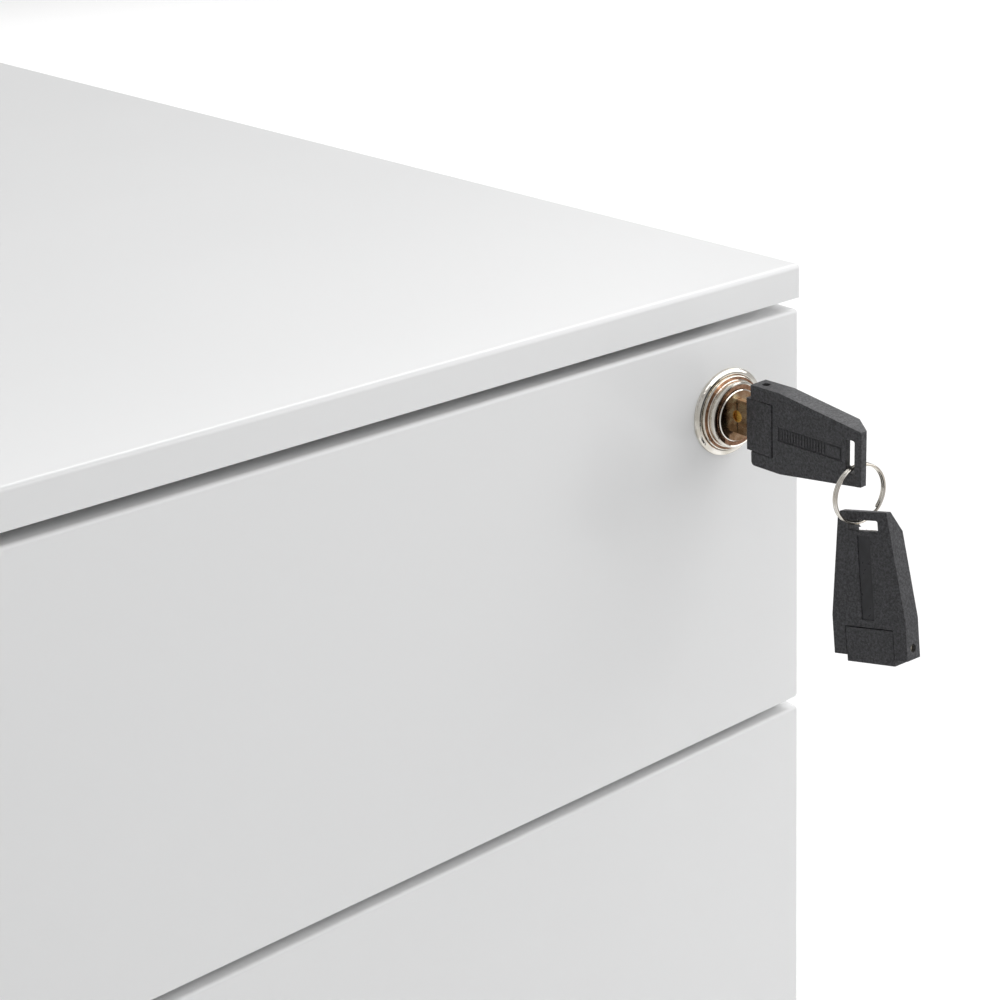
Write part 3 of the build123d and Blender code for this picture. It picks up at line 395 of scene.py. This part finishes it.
def rubber():
    soft = Shader("buffer_rubber", grey(0.08), 0.8)
    soft.paint(soft.noise(600.0, 3), (0.3, grey(0.06)), (0.7, grey(0.10)))
    soft.vary("Roughness", soft.noise(300.0, 3), 0.7, 0.88)
    soft.bump(soft.noise(2400.0, 2), 0.3, 0.00005)
    return soft.material


def castor_plastic():
    """Black nylon, slightly scuffed."""
    plastic = Shader("castor_plastic", grey(0.045), 0.45)
    scuff = plastic.noise(150.0, 5, 0.7)
    plastic.paint(scuff, (0.35, grey(0.034)), (0.75, grey(0.075)))
    plastic.vary("Roughness", scuff, 0.34, 0.6)
    plastic.bump(plastic.noise(1800.0, 2), 0.25, 0.00004)
    return plastic.material


def tray_plastic():
    """Dark grey polystyrene with a leather-like grain."""
    plastic = Shader("tray_plastic", grey(0.09), 0.5)
    grain = plastic.cells(900.0).outputs["Distance"]
    plastic.paint(plastic.noise(60.0, 3), (0.3, grey(0.075)), (0.7, grey(0.10)))
    plastic.vary("Roughness", grain, 0.42, 0.58, 0.0, 0.6)
    plastic.bump(grain, 0.3, 0.00008)
    return plastic.material


def floor_material():
    floor = Shader("floor", grey(0.93), 0.9)
    floor.paint(floor.noise(0.8, 2), (0.3, grey(0.925)), (0.7, grey(0.94)))
    floor.set("Specular IOR Level", 0.1)
    floor.set("Emission Color", (1, 1, 1, 1))
    floor.set("Emission Strength", 0.06)
    return floor.material


def cage_steel():
    """Dull phosphated strip of the ball cages."""
    metal = Shader("cage_steel", grey(0.38), 0.42, 1.0)
    metal.paint(metal.noise(160.0, 3), (0.3, (0.30, 0.30, 0.31)), (0.7, (0.44, 0.44, 0.43)))
    metal.vary("Roughness", metal.noise(400.0, 4, 0.7), 0.34, 0.52)
    metal.bump(metal.noise(900.0, 2), 0.15, 0.00002)
    return metal.material


def dress_nodes():
    """Give every CAD node the material of its slot."""
    finish = {
        "white_powder_coat": powder_coat(),
        "zinc_steel": zinc(),
        "bright_nickel": nickel(),
        "lock_brass": brass(),
        "key_steel": key_steel(),
        "key_plastic": key_plastic(),
        "buffer_rubber": rubber(),
        "castor_plastic": castor_plastic(),
        "tray_plastic": tray_plastic(),
    }
    for part in frame["record"]["subparts"]:
        slots = nodes[part["node"]].data.materials
        slots.clear()
        slots.append(finish[part["material_slot"]])
    return finish


# ---------------------------------------------------------------- finer pieces
def new_piece(name, shape, material, body):
    """Finish a bmesh as a piece that moves with a body."""
    bmesh.ops.recalc_face_normals(shape, faces=shape.faces[:])
    mesh = bpy.data.meshes.new(name)
    shape.to_mesh(mesh)
    shape.free()
    mesh.materials.append(material)
    piece = bpy.data.objects.new(name, mesh)
    bpy.context.scene.collection.objects.link(piece)
    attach(piece, body)
    return piece


WIRE = 0.445 * MM                         # wire radius of the split ring
COIL_RADIUS = 8.4 * MM
COIL_PITCH = 0.82 * MM                    # between its two turns
COIL_TILT = math.radians(-0.95)
JOG = math.radians(9)                     # half length of the step between the turns
JOG_PLACE = math.radians(-55)             # where on the ring it is, from its right-hand side
END_GAP = math.radians(3)
END_WIDTH = 0.6                           # the wire's ends are narrowed to this share
COIL_STEPS = 260
WIRE_SIDES = 14


def make_coil(material):
    """One wire wound twice, with a step between the turns and two chamfered ends."""
    upward = Matrix.Rotation(COIL_TILT, 3, RING_ALONG) @ Vector((0, 0, 1))
    sideways = RING_ALONG.cross(upward)
    shape = bmesh.new()
    start = JOG + END_GAP
    stop = 4 * math.pi - JOG - END_GAP
    rings = []
    for step in range(COIL_STEPS + 1):
        turn = start + (stop - start) * step / COIL_STEPS
        along = min(1.0, max(0.0, (turn - (2 * math.pi - JOG)) / (2 * JOG)))
        shift = COIL_PITCH * (along * along * (3 - 2 * along) - 0.5)
        angle = turn + JOG_PLACE
        outward = RING_ALONG * math.cos(angle) + upward * math.sin(angle)
        middle = RING_CENTRE + outward * COIL_RADIUS + sideways * shift
        thick = WIRE * (END_WIDTH if step in (0, COIL_STEPS) else 1.0)
        ring = []
        for k in range(WIRE_SIDES):
            spoke = 2 * math.pi * k / WIRE_SIDES
            ring.append(shape.verts.new(
                middle + thick * (outward * math.cos(spoke) + sideways * math.sin(spoke))))
        rings.append(ring)
    for near, far in zip(rings, rings[1:]):
        for k in range(WIRE_SIDES):
            face = shape.faces.new((near[k], near[k - 1], far[k - 1], far[k]))
            face.smooth = True
    shape.faces.new(rings[0])
    shape.faces.new(list(reversed(rings[-1])))
    return new_piece("split_ring_coil", shape, material, "split_ring")


HEAD_BEND = math.radians(2.4)             # the inserted key's head is folded over a little
SPARE_TURN = math.radians(-82.3)          # how the spare key hangs
SPARE_LEAN = math.radians(-8.5)
SPARE_ROLL = math.radians(11.1)
HEAD_HALF_THICK = 3.1 * MM
PANEL_FLOOR = HEAD_HALF_THICK - 0.3 * MM
PANEL_HALF = 2.1 * MM
PANEL_START = 7.4 * MM                    # from the fold pin
PANEL_END = 31.0 * MM
RIBS = 16
RIB_PITCH = 1.05 * MM
RIB_WIDE = 0.55 * MM
RIB_EDGE = 0.08 * MM
FIELD_START = 25.4 * MM                   # bare field between the ribs and the panel's end
FIELD_MARGIN = 0.5 * MM


def add_bar(shape, place, start, end, low, high, base, top, edge):
    """A bar from start to end along a, low to high along b, base to top along c.

    Its top is bevelled by the edge, and place turns (a, b, c) into a point.
    """
    corners = []
    for level, inset in ((base, 0.0), (top - edge, 0.0), (top, edge)):
        corners.append([
            shape.verts.new(place(start + inset, low + inset, level)),
            shape.verts.new(place(end - inset, low + inset, level)),
            shape.verts.new(place(end - inset, high - inset, level)),
            shape.verts.new(place(start + inset, high - inset, level)),
        ])
    for lower, upper in zip(corners, corners[1:]):
        for k in range(4):
            shape.faces.new((lower[k - 1], lower[k], upper[k], upper[k - 1]))
    shape.faces.new(corners[-1])
    shape.faces.new(list(reversed(corners[0])))


def key_places(pin, outward, upward, face):
    """Place maker for a key: a runs to the ring end, b across, c out of the plain face."""
    def place(a, b, c):
        return pin + outward * a + upward * b + face * c
    return place


def inserted_key_places():
    outward = Vector((math.sin(HEAD_BEND), -math.cos(HEAD_BEND), 0))
    face = Vector((-math.cos(HEAD_BEND), -math.sin(HEAD_BEND), 0))
    return key_places(KEY_PIN, outward, Vector((0, 0, 1)), face)


def spare_key_places():
    turn = Matrix.Rotation(SPARE_TURN, 3, "Z")
    across = turn @ Vector((1, 0, 0))
    lean = Matrix.Rotation(SPARE_LEAN, 3, across)
    face = lean @ turn @ Vector((0, -1, 0))
    upward = Matrix.Rotation(SPARE_ROLL, 3, face) @ lean @ Vector((0, 0, 1))
    return key_places(SPARE_PIN, upward, face.cross(upward), face)


def make_panel_strip(name, place, material, body):
    """Polished floor of the shallow panel in a key head's plain face."""
    shape = bmesh.new()
    add_bar(shape, place, PANEL_START + 0.1 * MM, PANEL_END - 0.02 * MM, -PANEL_HALF + 0.03 * MM,
            PANEL_HALF - 0.03 * MM, PANEL_FLOOR - 0.03 * MM, PANEL_FLOOR + 0.06 * MM, 0.02 * MM)
    return new_piece(name, shape, material, body)


def make_grip_ribs(material):
    """Plain grip ribs and a bare field in the inserted key's panel."""
    place = inserted_key_places()
    shape = bmesh.new()
    base = PANEL_FLOOR
    top = HEAD_HALF_THICK - 0.06 * MM
    for k in range(RIBS):
        start = PANEL_START + 0.8 * MM + k * RIB_PITCH
        tall = PANEL_HALF - (0.5 if k % 2 else 0.35) * MM
        add_bar(shape, place, start, start + RIB_WIDE, -tall, tall, base, top, RIB_EDGE)
    add_bar(shape, place, FIELD_START, PANEL_END - 0.7 * MM, -PANEL_HALF + FIELD_MARGIN,
            PANEL_HALF - FIELD_MARGIN, base, top, RIB_EDGE)
    return new_piece("key_grip_ribs", shape, material, "key_grip")


BALL_SEGMENTS = 12
BALL_ROWS = 7


def add_ball(shape, centre, radius):
    """Ball with its poles along Y."""
    rings = []
    for row in range(1, BALL_ROWS):
        lean = math.pi * row / BALL_ROWS
        rings.append([
            shape.verts.new(centre + radius * Vector((
                math.sin(lean) * math.cos(2 * math.pi * k / BALL_SEGMENTS),
                -math.cos(lean),
                math.sin(lean) * math.sin(2 * math.pi * k / BALL_SEGMENTS))))
            for k in range(BALL_SEGMENTS)
        ])
    for near, far in zip(rings, rings[1:]):
        for k in range(BALL_SEGMENTS):
            shape.faces.new((near[k - 1], near[k], far[k], far[k - 1])).smooth = True
    for ring, end in ((rings[0], -radius), (rings[-1], radius)):
        pole = shape.verts.new(centre + Vector((0, end, 0)))
        for k in range(BALL_SEGMENTS):
            shape.faces.new((ring[k - 1], ring[k], pole)).smooth = True


BALL_RADIUS = 1.7 * MM
BALL_PITCH = 14 * MM
BALLS = 9
CAGE_THICK = 0.5 * MM
CAGE_WIDE = 4.6 * MM
CAGE_HOLE = 2.4 * MM                      # half the opening that each ball sits in
CAGE_INSET = 2.2 * MM                     # balls inside the middle member's outer face
CAGE_RISE = 1.85 * MM                     # balls over its edges
RAIL_INSET = 0.25 * MM                    # rails along a cage's two long edges
RAIL_HALF = 0.22 * MM


def add_cage(shape, x, level, front, back):
    """Flat strip along Y with an opening at every ball: crosspieces and two rails."""
    def place(a, b, c):
        return Vector((x + b, a, level + c))

    for k in range(BALLS + 1):
        start = front + k * BALL_PITCH - (BALL_PITCH / 2 - CAGE_HOLE)
        end = start + BALL_PITCH - 2 * CAGE_HOLE
        add_bar(shape, place, max(start, front), min(end, back), -CAGE_WIDE / 2, CAGE_WIDE / 2,
                -CAGE_THICK / 2, CAGE_THICK / 2, 0.1 * MM)
    for rail in (-1, 1):
        inner = rail * (CAGE_WIDE / 2 - RAIL_INSET)
        add_bar(shape, place, front, back, inner - RAIL_HALF, inner + RAIL_HALF,
                -CAGE_THICK / 2, CAGE_THICK / 2, 0.05 * MM)


def make_ball_cages(number, balls_finish, cage_finish):
    """Balls and their cage strips above and below the middle members of one drawer's runners."""
    low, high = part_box(f"runner_middle_members_{number}")
    balls = bmesh.new()
    cages = bmesh.new()
    middle = (low.y + high.y) / 2
    half = (BALLS / 2) * BALL_PITCH
    for side in (-1, 1):
        x = side * (high.x - CAGE_INSET)
        for level in (low.z - CAGE_RISE, high.z + CAGE_RISE):
            for k in range(BALLS):
                y = middle + (k - (BALLS - 1) / 2) * BALL_PITCH
                add_ball(balls, Vector((x, y, level)), BALL_RADIUS)
            add_cage(cages, x, level, middle - half, middle + half)
    new_piece(f"runner_balls_{number}", balls, balls_finish, f"runner_middle_{number}")
    new_piece(f"runner_cages_{number}", cages, cage_finish, f"runner_middle_{number}")


# ---------------------------------------------------------------- build the scene
make_camera()
make_world()
make_lights()
make_floor()
finish = dress_nodes()
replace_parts(make_coil(finish["bright_nickel"]), "split_ring")
polished = smooth_plastic()
make_panel_strip("key_panel", inserted_key_places(), polished, "key_grip")
make_panel_strip("spare_key_panel", spare_key_places(), polished, "spare_grip")
make_grip_ribs(finish["key_plastic"])
cage_finish = cage_steel()
for number in (1, 2, 3):
    make_ball_cages(number, finish["zinc_steel"], cage_finish)
bpy.context.scene.view_settings.view_transform = "Standard"
